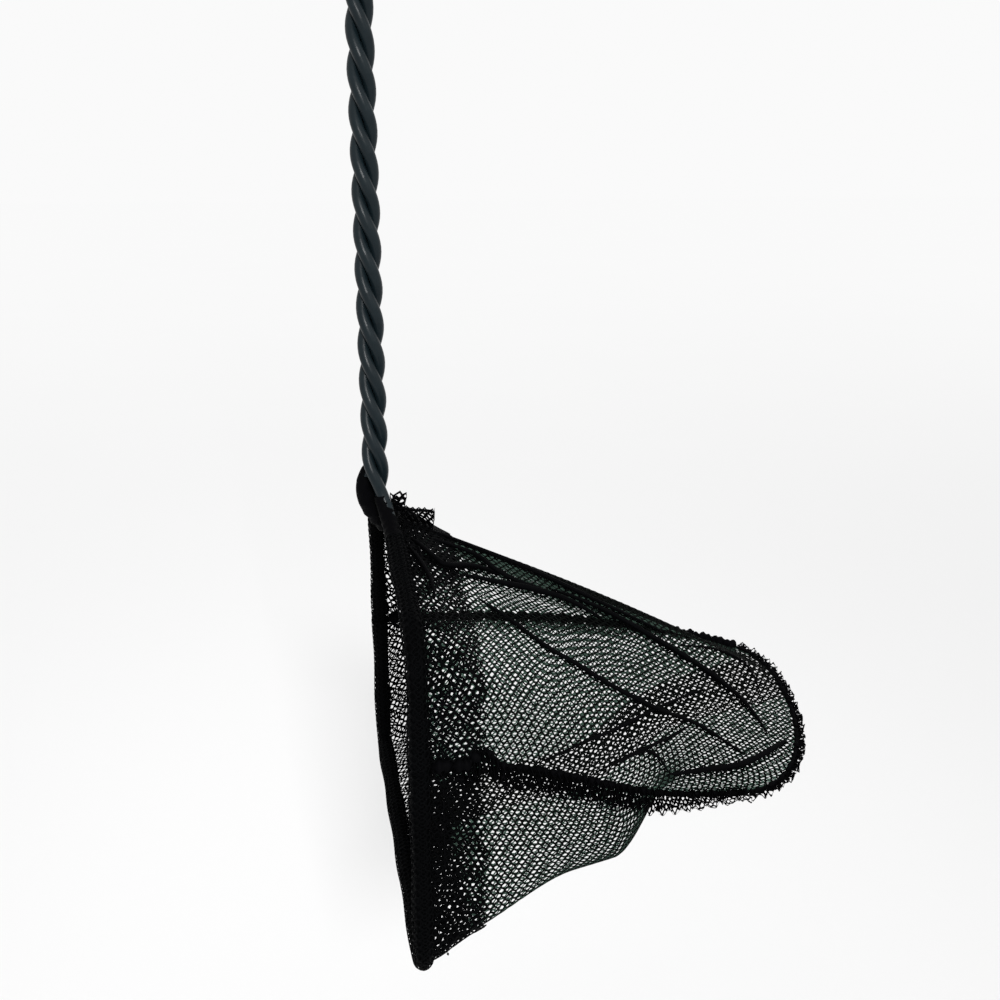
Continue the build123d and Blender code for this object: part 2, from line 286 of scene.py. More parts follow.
def tail_corner(side):
    """The tail's corner, where the seam turns from a side into the tail."""
    back, out, drop = NEAR_CORNER if side == NEAR else FAR_CORNER
    return point(FRAME_X + BAG_DEPTH - back, out, level(drop))


def corner_slope(side):
    """How fast a side seam comes in as it reaches the tail's corner."""
    return math.tan(math.radians(FAR_CORNER_TURN)) if side == FAR else 0.0


def side_seam(side, share):
    """The seam along one side of the bag, a Bezier curve from the frame to the tail's corner."""
    start, end = seam_start(side), tail_corner(side)
    last = end - unit(point(1, -corner_slope(side), 0)) * BAG_DEPTH / 3
    return bezier([start, start + AXIS_X * BAG_DEPTH / 3, last, end], share)


def ridge(share):
    """The upper panel's middle line: a straight slope to the tail, bowed up by a parabola."""
    bow = 4 * RIDGE_BOW * share * (1 - share)
    drop = TAIL_DROP * share - bow
    return point(FRAME_X + BAG_DEPTH * share, -TAIL_LEAN * share, level(drop))


def folded(share):
    """How far the lower panel has folded up from the belly into the flat tail, a smooth step."""
    return ease((BAG_DEPTH * share - BELLY_DEPTH) / (FOLD_DEPTH - BELLY_DEPTH))


def keel(share):
    """The lower panel's middle line: a belly that rises by a smooth step and a slope, and then folds up
    into the slope of the flat tail."""
    depth = BAG_DEPTH * share
    rise = BELLY_RISE * ease(depth / BELLY_RISE_DEPTH) + BELLY_SLOPE * depth
    belly = level(0) - FRAME_BOTTOM - rise
    tail = TAIL_DROP + TAIL_THICKNESS * (BAG_DEPTH - depth) / (BAG_DEPTH - FOLD_DEPTH)
    return point(FRAME_X + depth, -TAIL_LEAN * share, level(mix(belly, tail, folded(share))))


class Panel:
    """The upper or lower part of the bag, from its middle line to the seam on either side, on a fine
    grid of rows along the depth and columns across."""

    ROWS, COLUMNS = 224, 481

    def __init__(self, facing, middle, slope, squareness, flattening, gather, mouths):
        self.facing, self.middle, self.slope, self.gather = facing, middle, slope, gather
        self.squareness, self.flattening, self.mouths = squareness, flattening, mouths
        share, across = np.meshgrid(
            np.linspace(0, 1, self.ROWS), np.linspace(-1, 1, self.COLUMNS), indexing="ij")
        self.points = np.where(across[..., None] < 0, self.half(NEAR, share, -across),
                               self.half(FAR, share, across))
        self.normals = self.outward()
        self.reach = self.cloth()

    def half(self, side, share, reach):
        """Points of one half: a Bezier section from the middle to the seam, drawn out to a corner. Near
        the mouth a smooth step mixes it with the frame's outline, moved along with the panel's edges."""
        reach = np.clip(reach, 0, 1)
        middle, edge = self.middle(share), side_seam(side, share)
        over = edge[..., 1] - corner_slope(side) * (middle[..., 0] - edge[..., 0])
        height = middle[..., 2] - self.slope * np.abs(over - middle[..., 1])
        corner = point(middle[..., 0], over, mix(height, edge[..., 2], self.flattening(share)))
        square = mix(self.squareness, TAIL_SQUARENESS, self.flattening(share))[..., None]
        free = bezier([middle, mix(middle, corner, square), mix(edge, corner, square), edge], reach)
        moved = mix(middle - self.middle(np.array(0.0)), edge - side_seam(side, 0.0), reach[..., None])
        framed = along(self.mouths[side], reach) + moved
        return mix(framed, free, ease(BAG_DEPTH * share / MOUTH_REACH)[..., None])

    def cloth(self):
        """How far each point lies from the middle line on the flat cloth. Spare cloth is gathered beside
        the middle, over a width and up to a limit, so that rows of cells follow the near seam."""
        steps = np.linalg.norm(np.diff(self.points, axis=1), axis=2)
        reach = np.concatenate([np.zeros((self.ROWS, 1)), np.cumsum(steps, axis=1)], axis=1)
        reach = reach - reach[:, self.COLUMNS // 2][:, None]
        straight_row = round(HEM_DEPTH / BAG_DEPTH * (self.ROWS - 1))
        width, limit = self.gather
        spare = np.minimum(reach[:, :1] - reach[straight_row, 0], limit)
        return reach - spare * ease(-reach / width)

    def outward(self):
        """Unit vectors away from the inside of the bag: the cross product of the steps along both
        directions of the grid, mixed into upright ones over the flat tail."""
        cross = np.cross(np.gradient(self.points, axis=0), np.gradient(self.points, axis=1))
        flat = ease(2 * np.linspace(0, 1, self.ROWS) - 1)[:, None, None]
        return unit(mix(unit(cross) * self.facing, AXIS_Z * self.facing, flat))

    def limits(self, depth):
        """How far the panel reaches to its near and far edge at depths, measured on the cloth."""
        row = np.clip(depth / BAG_DEPTH, 0, 1) * (self.ROWS - 1)
        zero = np.zeros_like(row)
        return sample(self.reach, row, zero), sample(self.reach, row, zero + self.COLUMNS - 1)

    def place(self, flat, lift):
        """Points over the cloth: flat holds the depth and the reach from the middle line. The column at
        a reach is found by a few steps, each the missing reach over the reach of one column."""
        search_steps, least_rate = 6, 1e-3
        row = np.clip(flat[..., 0] / BAG_DEPTH, 0, 1) * (self.ROWS - 1)
        near, far = self.limits(flat[..., 0])
        reach = np.clip(flat[..., 1], near, far)
        middle = (self.COLUMNS - 1) / 2
        column = middle + middle * np.where(reach < 0, reach / -near, reach / far)
        for _ in range(search_steps):
            rate = sample(self.reach, row, column + 0.5) - sample(self.reach, row, column - 0.5)
            column = column + (reach - sample(self.reach, row, column)) / np.maximum(rate, least_rate)
            column = np.clip(column, 0, self.COLUMNS - 1)
        return sample(self.points, row, column) + sample(self.normals, row, column) * lift[..., None]


def mouth(side, start, corner, radius):
    """The frame's outline from a middle point of a bar to the seam on one side."""
    return rounded([start, corner(side), seam_start(side)], [radius])


upper = Panel(UP, ridge, RIDGE_SLOPE, MOUTH_SQUARENESS, lambda share: share, UPPER_GATHER,
              {side: mouth(side, NECK, shoulder, SHOULDER_RADIUS) for side in (NEAR, FAR)})
lower = Panel(DOWN, keel, 0.0, BELLY_SQUARENESS, folded, LOWER_GATHER,
              {side: mouth(side, BOTTOM_MIDDLE, bottom_corner, BOTTOM_RADIUS) for side in (NEAR, FAR)})


# Meshes

def add_mesh(name, vertices, faces, material):
    """A smooth mesh object from points in millimetres and an array of quads."""
    mesh = bpy.data.meshes.new(name)
    mesh.from_pydata((vertices.reshape(-1, 3) * MM).tolist(), [], faces.reshape(-1, 4).tolist())
    mesh.polygons.foreach_set("use_smooth", np.ones(len(mesh.polygons), bool))
    mesh.materials.append(material)
    piece = bpy.data.objects.new(name, mesh)
    bpy.context.scene.collection.objects.link(piece)
    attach(piece, "root")
    return piece


def join(parts):
    """One set of points and faces from several."""
    counts = np.cumsum([0] + [len(vertices) for vertices, _ in parts])
    faces = [quads.reshape(-1, 4) + start for (_, quads), start in zip(parts, counts)]
    return np.concatenate([vertices for vertices, _ in parts]), np.concatenate(faces)


def grid_faces(rows, columns, closed):
    """Quads of a grid of points whose columns may close into a ring."""
    i = np.arange(rows - 1)[:, None]
    j = np.arange(columns if closed else columns - 1)[None]
    k = (j + 1) % columns
    return np.stack([i * columns + j, i * columns + k, (i + 1) * columns + k, (i + 1) * columns + j], -1)


def crosswise(line):
    """Two steady unit directions square to a line of points: the tangent crossed with a direction that
    no line here runs along, and the tangent crossed with the first."""
    steady = AXIS_X + 0.01
    tangent = unit(np.gradient(line, axis=0))
    side = unit(np.cross(tangent, steady))
    return side, np.cross(tangent, side)


def tube(line, radius, sides):
    """A closed tube along a line: a ring of points round each station, at the radius times the cosine
    and sine of the turn along two directions square to the line, drawn in at both ends."""
    drawn_in = 0.02
    side, over = crosswise(line)
    turn = np.linspace(0, 2 * math.pi, sides, endpoint=False)[None, :, None]
    radius = np.broadcast_to(radius, (len(line), sides)).copy()
    radius[[0, -1]] *= drawn_in
    spokes = side[:, None] * np.cos(turn) + over[:, None] * np.sin(turn)
    rings = line[:, None] + spokes * radius[..., None]
    return rings.reshape(-1, 3), grid_faces(len(line), sides, True)


def hexagon():
    """The corners of a net cell: two links along its row and two points over and under them."""
    side = ROW_PITCH - LINK_LENGTH / 2
    half, link = CELL_PITCH / 2, LINK_LENGTH / 2
    return np.array([(half, link), (0, side), (-half, link), (-half, -link), (0, -side), (half, -link)])


def inset(polygon, distance):
    """A convex polygon moved in on every edge, by crossing each edge line with the next."""
    edge = np.roll(polygon, -1, axis=0) - polygon
    inward = np.stack([-edge[:, 1], edge[:, 0]], 1) / np.linalg.norm(edge, axis=1)[:, None]
    start = polygon + inward * distance
    before, at = np.roll(edge, 1, axis=0), np.roll(start, 1, axis=0)
    gap = start - at
    reach = (gap[:, 0] * edge[:, 1] - gap[:, 1] * edge[:, 0]) / (
        before[:, 0] * edge[:, 1] - before[:, 1] * edge[:, 0])
    return at + before * reach[:, None]


def cells(low, high):
    """Centres of net cells over a flat rectangle, each second row set along by half a cell."""
    columns = np.arange(math.floor(low[0] / CELL_PITCH), math.ceil(high[0] / CELL_PITCH) + 1)
    rows = np.arange(math.floor(low[1] / ROW_PITCH), math.ceil(high[1] / ROW_PITCH) + 1)
    i, j = np.meshgrid(columns, rows, indexing="ij")
    x = (i + (j % 2) / 2) * CELL_PITCH
    return np.stack([x.ravel(), (j * ROW_PITCH).ravel()], axis=1)


def net(centres, place, facing, width, seed, unrest=0.06):
    """A net of hexagonal cells with threads of a diamond section: knots are raised and lowered by half
    the thickness at the corners that cells share, the holes' edges lie between, half a width in from
    the corners, and the outer edge is closed. The place function carries flat points and lifts to the
    shape. The width is a number or one for each cell, and unrest is how far knots stray."""
    holes_follow = 0.7
    ring = hexagon()
    width = np.broadcast_to(width, len(centres))[:, None, None]
    outer = (centres[:, None] + ring[None]).reshape(-1, 2)
    keys = np.round(outer / (LINK_LENGTH / 4)).astype(int)
    _, first, owner = np.unique(keys, axis=0, return_index=True, return_inverse=True)
    owner = owner.reshape(-1, CELL_SIDES)
    loose = np.random.default_rng(seed).normal(0, unrest, (len(first), 2))
    knots = outer[first] + loose
    holes = centres[:, None] + ring + (inset(ring, 1.0) - ring) * width / 2 + loose[owner] * holes_follow
    holes = holes.reshape(-1, 2)
    half = np.full(len(knots), THREAD_THICKNESS / 2)
    vertices = np.concatenate([place(knots, half), place(knots, -half), place(holes, np.zeros(len(holes)))])
    count = len(knots)
    hole = 2 * count + np.arange(len(holes)).reshape(-1, CELL_SIDES)
    after, hole_after = np.roll(owner, -1, axis=1), np.roll(hole, -1, axis=1)
    top = np.stack([hole, owner, after, hole_after], -1).reshape(-1, 4)
    bottom = np.stack([hole_after, after + count, owner + count, hole], -1).reshape(-1, 4)
    pairs = np.stack([owner, after], -1).reshape(-1, 2)
    _, inverse, uses = np.unique(np.sort(pairs, axis=1), axis=0, return_inverse=True, return_counts=True)
    edge = pairs[uses[inverse.ravel()] == 1]
    rim = np.stack([edge[:, 1], edge[:, 0], edge[:, 0] + count, edge[:, 1] + count], -1)
    faces = np.concatenate([top, bottom, rim])
    return vertices, faces if facing > 0 else faces[:, ::-1]


# Materials

class Socket:
    """A shader value with arithmetic: each operator adds a Math node."""

    def __init__(self, tree, socket):
        self.tree, self.socket = tree, socket

    def math(self, operation, *others):
        """A Math node on this value and others."""
        node = self.tree.nodes.new("ShaderNodeMath")
        node.operation = operation
        for slot, value in zip(node.inputs, (self, *others)):
            connect(self.tree, value, slot)
        return Socket(self.tree, node.outputs[0])

    def __add__(self, other):
        return self.math("ADD", other)

    def __mul__(self, other):
        return self.math("MULTIPLY", other)

    def __sub__(self, other):
        return self.math("SUBTRACT", other)

    def __rsub__(self, other):
        return (self * -1.0) + other

    __radd__ = __add__
    __rmul__ = __mul__


def connect(tree, value, slot):
    """Links a socket, or sets a plain value."""
    if isinstance(value, Socket):
        tree.links.new(value.socket, slot)
    else:
        slot.default_value = value


class Finish:
    """A material with a Principled shader, and one method for every other node."""

    def __init__(self, name, **values):
        self.material = bpy.data.materials.new(name)
        self.material.use_nodes = True
        self.tree = self.material.node_tree
        self.shader = self.tree.nodes["Principled BSDF"]
        self.set(**values)

    def set(self, **values):
        """Sets or links sockets of the shader."""
        for name, value in values.items():
            connect(self.tree, value, self.shader.inputs[name.replace("_", " ")])

    def node(self, kind, settings=(), output=0, **values):
        """A node with its settings and then the values or links of its sockets."""
        node = self.tree.nodes.new("ShaderNode" + kind)
        for name, value in dict(settings).items():
            setattr(node, name, value)
        for name, value in values.items():
            connect(self.tree, value, node.inputs[name.replace("_", " ")])
        return Socket(self.tree, node.outputs[output])

    def noise(self, scale, detail=3.0, roughness=0.55):
        """Noise over the piece's own coordinates."""
        place = self.node("TexCoord", output="Object")
        return self.node("TexNoise", Vector=place, Scale=scale, Detail=detail, Roughness=roughness)

    def blend(self, share, first, second):
        """A colour a share of the way from the first to the second."""
        node = self.tree.nodes.new("ShaderNodeMix")
        node.data_type = "RGBA"
        for name, value in (("Factor_Float", share), ("A_Color", first), ("B_Color", second)):
            connect(self.tree, value, next(s for s in node.inputs if s.identifier == name))
        return Socket(self.tree, next(s for s in node.outputs if s.identifier == "Result_Color"))

    def bump(self, height, strength, distance):
        """Normals of a surface raised by a height."""
        return self.node("Bump", Height=height, Strength=strength, Distance=distance)


def vinyl_finish():
    """Glossy charcoal vinyl: faint mottling, a slightly wavy skin and rubbed spots."""
    finish = Finish("charcoal_vinyl", Specular_IOR_Level=0.16)
    mottle = finish.noise(260.0)
    rubbed = finish.noise(900.0, 2.0)
    wave = finish.noise(420.0, 2.0, 0.4)
    finish.set(
        Base_Color=finish.blend(mottle, (0.003, 0.006, 0.008, 1), (0.007, 0.013, 0.016, 1)),
        Roughness=rubbed * 0.1 + 0.29,
        Normal=finish.bump(wave, 0.18, 0.0004))
    return finish.material


def thread_finish(name, dark, light):
    """Black knitted nylon: fine fibres along the thread and a little uneven dye."""
    finish = Finish(name, Specular_IOR_Level=0.02)
    dye = finish.noise(70.0, 2.0)
    fibre = finish.noise(5200.0, 2.0)
    finish.set(
        Base_Color=finish.blend(dye * 0.6 + fibre * 0.4, dark, light),
        Roughness=fibre * 0.3 + 0.5,
        Normal=finish.bump(fibre, 0.35, 0.0002))
    return finish.material


def steel_finish():
    """Drawn steel wire with faint streaks."""
    finish = Finish("drawn_steel", Metallic=1.0)
    streak = finish.noise(600.0)
    finish.set(Base_Color=finish.blend(streak, (0.42, 0.43, 0.44, 1), (0.62, 0.63, 0.65, 1)),
               Roughness=streak * 0.2 + 0.3)
    return finish.material


vinyl = vinyl_finish()
steel = steel_finish()
net_thread = thread_finish("net_thread", (0.0006, 0.0008, 0.0007, 1), (0.004, 0.005, 0.0045, 1))
# Painted light: a paler, greener copy of the black thread for the inner faces, standing in for light on the
# inside of the bag
painted_light_inner_thread = thread_finish("painted_light_inner_thread", (0.056, 0.098, 0.076, 1), (0.108, 0.178, 0.142, 1))
hem_thread = thread_finish("hem_thread", (0.0003, 0.0003, 0.0004, 1), (0.0018, 0.002, 0.0024, 1))
seam_thread = thread_finish("seam_thread", (0.0003, 0.0003, 0.0004, 1), (0.0018, 0.0018, 0.0024, 1))


def dress(node, material):
    """Gives a CAD node its finish."""
    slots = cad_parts[node].data.materials
    slots.clear()
    slots.append(material)


for wire in ("frame_loop", "near_strand", "far_strand", "return_strand", "hanging_eye"):
    dress(wire + "_coat", vinyl)
    dress(wire + "_core", steel)


# Net panels and hems

def on_panel(panel, centres):
    """Which cells have their centres on the panel, by a margin inside its edges."""
    near, far = panel.limits(centres[:, 0])
    return (centres[:, 1] > near + CELL_MARGIN) & (centres[:, 1] < far - CELL_MARGIN)


def panel_cells(panel, start, end):
    """Cells of a panel between two depths."""
    centres = cells((start, panel.reach.min()), (end, panel.reach.max()))
    return centres[on_panel(panel, centres)]


def before_edge(centres, edge, depth, seed):
    """Which cells lie before a cut edge that wanders by a depth, straight between random stations."""
    stations, reach = 64, 130
    wander = np.random.default_rng(seed).normal(0, 1, stations)
    place = np.interp(centres[:, 1], np.linspace(-reach, reach, stations), wander)
    return centres[:, 0] < edge + depth * place


def far_half(centres):
    """How far cells lie over on the far half: a smooth step from 0 to 1 across the middle line."""
    return ease(centres[:, 1] / FAR_HALF_BLEND + 0.5)


def cell_width(centres, seed):
    """The thread's width at each cell: a little uneven, and by smooth steps fuller on the slack far
    half, where the cloth is gathered at the neck and towards the tail."""
    from_gather = np.hypot(*(centres - NECK_GATHER).T)
    gathered = ease((NECK_GATHER_REACH - from_gather) / NECK_GATHER_BLEND)
    towards_tail = ease((centres[:, 0] - TAIL_THREAD_START) / TAIL_THREAD_BLEND)
    uneven = np.random.default_rng(seed).normal(0, UNEVEN_THREAD, len(centres))
    width = mix(THREAD_WIDTH, FAR_THREAD_WIDTH, far_half(centres))
    return width + GATHERED_THREAD * gathered + TAIL_THREAD * towards_tail + uneven


def hem_width(centres, seed):
    """The thread's width in the hem, which is drawn thinner on the far half."""
    return cell_width(centres, seed) * mix(1.0, HEM_STRETCH, far_half(centres))


def paint_light_inside(piece, centres):
    """Paints light on the inner side of a net, away from the panel's middle line: the inner faces get a
    paler copy of the thread. A net's faces are the outer ones, one for each side of each cell, then as many
    inner ones, and then the rim's."""
    finish = np.zeros(len(piece.data.polygons), int)
    count = CELL_SIDES * len(centres)
    # Painted light on the inner faces, past a reach from the middle line
    finish[count:2 * count] = np.repeat(np.abs(centres[:, 1]) > PAINTED_LIGHT_START, CELL_SIDES)
    piece.data.materials.append(painted_light_inner_thread)
    piece.data.polygons.foreach_set("material_index", finish)


def add_panel(name, panel, shrunk, seed):
    """The single net from the hem to the tail, and the sum of its cells' thread widths. Threads are
    fuller by as much as the cloth has shrunk."""
    centres = panel_cells(panel, HEM_DEPTH - HEM_OVERLAP, BAG_DEPTH - 1)
    width = cell_width(centres, seed) + shrunk
    vertices, faces = net(centres, panel.place, panel.facing, width, seed)
    piece = add_mesh(name, vertices, faces, net_thread)
    paint_light_inside(piece, centres)
    return piece, width.sum()


def add_hem(name, panel, seed):
    """The doubled net of the hem: the panel's own cloth and a turned-in layer with a ragged edge. Its
    cells are cut from a wide strip that is turned by an angle before it lies on the panel."""
    start, strip = SLEEVE_RADIUS - 0.5, 60
    first = panel_cells(panel, start, HEM_DEPTH - HEM_OVERLAP - CELL_PITCH / 4)
    angle = math.radians(HEM_TURN)
    turn = np.array([[math.cos(angle), math.sin(angle)], [-math.sin(angle), math.cos(angle)]])
    second = cells((-strip, panel.reach.min()), (strip, panel.reach.max()))
    lain = second @ turn
    trimmed = before_edge(lain, HEM_DEPTH, HEM_EDGE_WANDER, seed)
    second = second[(lain[:, 0] > start) & on_panel(panel, lain) & trimmed]
    second_width = hem_width(second, seed) * HEM_FULLNESS

    def turned_in(flat, lift):
        """The strip's points, turned and laid over the first layer."""
        return panel.place(flat @ turn, lift + HEM_LAYER_GAP)

    parts = [
        net(first, panel.place, panel.facing, hem_width(first, seed), seed),
        net(second, turned_in, panel.facing, second_width, seed + 1, unrest=0.2),
    ]
    return add_mesh(name, *join(parts), hem_thread)


upper_panel, upper_widths = add_panel("upper_net", upper, shrunk=0.0, seed=11)
lower_panel, lower_widths = add_panel("lower_net", lower, shrunk=0.08, seed=12)
upper_hem = add_hem("upper_hem_net", upper, seed=21)
lower_hem = add_hem("lower_hem_net", lower, seed=22)
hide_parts("upper_net_panel")
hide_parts("lower_net_panel")
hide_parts("upper_hem")
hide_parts("lower_hem")


# Tucks where the cloth is pinched into standing folds

def tuck(panel, points, half, height, seed):
    """A fold of net along a smooth line over the flat cloth: it is squeezed across, stands up to a
    dense crest in the middle and dies out at both ends."""
    line = through(points, count=80)
    run = running_length(line)
    length = run[-1]
    tangent = unit(np.gradient(line, axis=0))

    def fading(at):
        """The root of half a sine wave over the fold's length."""
        return np.sqrt(np.sin(np.pi * np.clip(at / length, 0.01, 0.99)))

    def folded_net(flat, lift):
        """The strip's points beside the line, squeezed towards it and raised by a parabola across."""
        at = np.clip(flat[:, 0], 0, length)
        ahead = between(at, run, tangent)
        side = np.stack([-ahead[:, 1], ahead[:, 0]], -1)
        across = flat[:, 1] * TUCK_SQUEEZE * fading(at)
        stand = height * fading(at) * (1 - np.clip(np.abs(flat[:, 1]) / half, 0, 1) ** 2)
        return panel.place(between(at, run, line) + side * across[:, None], lift + TUCK_LIFT + stand)

    centres = cells((0, -half), (length, half))
    centres = centres[(np.abs(centres[:, 1]) < half) & (centres[:, 0] > 0) & (centres[:, 0] < length)]
    crest = panel.place(line, TUCK_LIFT + height * fading(run))
    crest_radius = 0.1 + 0.2 * half * fading(run)
    return join([
        net(centres, folded_net, panel.facing, THREAD_WIDTH, seed, unrest=0.1),
        tube(crest, crest_radius[:, None], sides=8),
    ])


def add_tucks(name, panel, tucks, seed):
    """All the tucks of a panel, each given as its half width, its height and points on the flat cloth."""
    parts = [tuck(panel, points, half, height, seed + i)
             for i, (half, height, points) in enumerate(tucks)]
    return add_mesh(name, *join(parts), seam_thread)


upper_tucks = add_tucks("upper_tucks", upper, [
    (3.0, 1.4, [(42, -9), (57, -10), (70, -14), (79, -17), (88, -21), (96, -28), (103, -40)]),
    (3.6, 1.4, [(17, -20), (25, -19), (34, -16), (45, -13), (56, -14)]),
    (2.6, 1.3, [(20, -30), (27, -36), (35, -43), (44, -46), (54, -49), (67, -50), (81, -49), (97, -53)]),
    (1.7, 0.8, [(35, -79), (45, -71), (56, -62), (67, -50), (84, -29)]),
    (1.6, 0.8, [(54, -75), (61, -68), (71, -59), (78, -50)]),
    (3.4, 1.8, [(76, -69), (86, -65), (97, -60), (104, -51), (109, -41)]),
    (1.6, 0.8, [(56, -73), (64, -66), (69, -65), (76, -68)]),
    (1.3, 0.7, [(80, -10), (92, -4), (101, -4), (103, -16)]),
    (2.8, 1.4, [(10, -6), (17, -7), (22, -8), (26, -12), (33, -14), (45, -11)]),
    (3.2, 1.6, [(4, -9), (9, -18), (12, -20), (20, -15), (28, -12)]),
    (2.6, 1.2, [(8, -1), (22, -3), (36, -4), (50, -6), (64, -7), (76, -7)]),
    (2.4, 1.4, [(3, -14), (6, -26), (7, -35)]),
], seed=61)


# Sleeves round the wire

def add_sleeve(name, line, seed):
    """The hem's channel: dense net rolled round the wire and a net of cells on it. The roll is a tube
    whose radius changes by a few sines of the length and of the turn."""
    station, sides, roll_depth, net_lift = 0.7, 20, 0.25, 0.05
    length = line_length(line)
    share = np.linspace(0, 1, int(length / station))
    path = along(line, share)
    side, over = crosswise(path)
    turn = np.linspace(0, 2 * math.pi, sides, endpoint=False)
    phase = np.random.default_rng(seed).uniform(0, 2 * math.pi, 4)

    def swell(run):
        """A long sine wave of the length."""
        return 0.18 * np.sin(run * 0.21 + phase[2])

    def wrap(flat, lift):
        """Points round the path: the first coordinate runs along it and the second round the sleeve."""
        at = np.clip(flat[:, 0] / length, 0, 1)
        angle = (flat[:, 1] / SLEEVE_RADIUS)[:, None]
        spoke = between(at, share, side) * np.cos(angle) + between(at, share, over) * np.sin(angle)
        radius = SLEEVE_RADIUS + net_lift + lift + swell(flat[:, 0])
        return between(at, share, path) + spoke * radius[:, None]

    run = share[:, None] * length
    lump = 0.12 * np.sin(run * 1.9 + 3 * turn + phase[0]) + 0.1 * np.sin(run * 0.7 - 2 * turn + phase[1])
    wave = swell(run) + 0.1 * np.sin(run * 0.53 + phase[3])
    round_rows = round(2 * math.pi * SLEEVE_RADIUS / ROW_PITCH / 2) * 2
    wrapped = cells((1, 0), (length - 2, (round_rows - 1) * ROW_PITCH))
    wrapped = wrapped[wrapped[:, 1] < (round_rows - 0.5) * ROW_PITCH]
    parts = [
        tube(path, SLEEVE_RADIUS - roll_depth + lump + wave, sides),
        net(wrapped, wrap, UP, width=0.6, seed=seed),
    ]
    return add_mesh(name, *join(parts), hem_thread)


def top_sleeve_line(side):
    """The wire from close to the neck round the shoulder to a little below the seam."""
    below_seam = seam_start(side) - AXIS_Z
    return rounded([on_top_bar(side, SLEEVE_START), shoulder(side), below_seam], [SHOULDER_RADIUS])


def bottom_sleeve_line():
    """The wire from the seam on the near side round the bottom to the seam on the far side."""
    corners = [seam_start(NEAR), bottom_corner(NEAR), bottom_corner(FAR), seam_start(FAR)]
    return rounded(corners, [BOTTOM_RADIUS, BOTTOM_RADIUS])


near_sleeve = add_sleeve("near_sleeve", top_sleeve_line(NEAR), seed=31)
far_sleeve = add_sleeve("far_sleeve", top_sleeve_line(FAR), seed=32)
lower_sleeve = add_sleeve("lower_sleeve", bottom_sleeve_line(), seed=33)
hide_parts("near_hem_channel")
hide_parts("far_hem_channel")
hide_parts("lower_hem_channel")


# Overlocked seam

def tail_seam_line(count):
    """The seam round the tail from the near corner to the far corner."""
    across = np.linspace(-1, 1, count)
    near = upper.half(NEAR, np.ones(count), np.abs(across))
    far = upper.half(FAR, np.ones(count), np.abs(across))
    return np.where(across[:, None] < 0, near, far)


def band(line, out, over, width, wave, seed):
    """A gathered band of net beside a line: it runs out to its width, which is a number or one for each
    point of the line, and waves over and under. The cells are drawn together along the line."""
    length = line_length(line) / SEAM_GATHER
    width = np.broadcast_to(width, len(line))
    widest = width.max()
    phase = np.random.default_rng(seed).uniform(0, 2 * math.pi, 3)
    places = np.linspace(0, 1, len(line))

    def ruffle(flat, lift):
        """The band's points: out from the line by their share of the width, which a sine makes uneven,
        and over it by two sines that grow with that share."""
        share = np.clip(flat[:, 0] / length, 0, 1)
        reach = np.clip(flat[:, 1] / widest, -0.1, 1.1)
        ripple = np.sin(flat[:, 0] * 0.8 + phase[0]) + 0.7 * np.sin(flat[:, 0] * 1.7 + phase[1])
        uneven = 1 + 0.14 * np.sin(flat[:, 0] * 1.1 + phase[2])
        far_out = (reach * uneven * np.interp(share, places, width))[:, None]
        height = (lift + wave * ripple * reach)[:, None]
        return along(line, share) + along_vectors(out, share) * far_out + along_vectors(over, share) * height

    centres = cells((0, 0), (length, widest))
    centres = centres[(centres[:, 0] > 0) & (centres[:, 0] < length)]
    return net(centres, ruffle, UP, width=0.62, seed=seed, unrest=0.16)


def zigzag(line, out, over, low, high, seed):
    """The overlock thread: a tube to and fro between a low and a high distance from a line, with every
    turn a little uneven."""
    random = np.random.default_rng(seed)
    count = int(line_length(line) / SEAM_STITCH)
    share = np.linspace(0, 1, count)
    high = np.interp(share, np.linspace(0, 1, len(line)), np.broadcast_to(high, len(line)))
    swing = np.where(np.arange(count) % 2 == 0, low, high) + random.normal(0, 0.15, count)
    rise = random.normal(0.35, 0.2, count)
    path = along(line, share) + along_vectors(out, share) * swing[:, None]
    return tube(path + along_vectors(over, share) * rise[:, None], radius=0.28, sides=5)


def bead(line, radius, seed):
    """The dense stitch line of the seam: a tube whose radius changes by two sines of the length."""
    path = along(line, np.linspace(0, 1, int(line_length(line) / BEAD_STEP)))
    run = np.arange(len(path)) * BEAD_STEP
    phase = np.random.default_rng(seed).uniform(0, 2 * math.pi, 2)
    lump = 1 + 0.2 * np.sin(run * 1.3 + phase[0]) + 0.22 * np.sin(run * 2.9 + phase[1])
    return tube(path, radius * lump[:, None], sides=12)


def add_side_seam(name, side, line, radius, seed):
    """A side seam: its stitch line, thicker through the hem, and the cut edges. These lie folded down
    on the bag along its middle and turn outward towards the tail, by a smooth step of the share."""
    folded_width, outward_width, hem_radius = 5.2, 2.6, 1.6
    turn_start, width_rise = 0.6, 0.2
    share = np.linspace(0, 1, len(line))
    turned = ease((share - turn_start) / (1 - turn_start))[:, None]
    down = np.array([0.0, 0.25 * side, -1.0])
    outward = np.array([0.0, float(side), -0.2])
    out = unit(mix(down, outward, turned))
    over = unit(mix(np.array([0.0, float(side), 0.0]), AXIS_Z, turned))
    width = mix(folded_width, outward_width, turned[:, 0]) * ease(share / width_rise + 0.3)
    through_hem = line[: len(line) // 8]
    parts = [
        bead(line, radius, seed),
        bead(through_hem, hem_radius, seed + 1),
        band(line, out, over, width, wave=0.5, seed=seed + 2),
        band(line + over * 0.6, out, over, width * 0.8, wave=0.7, seed=seed + 3),
        zigzag(line + over * 0.5, out, over, low=0.2, high=width * 0.9, seed=seed + 4),
        zigzag(line + over * 0.7, out, over, low=-0.9, high=1.0, seed=seed + 5),
    ]
    return add_mesh(name, *join(parts), seam_thread)


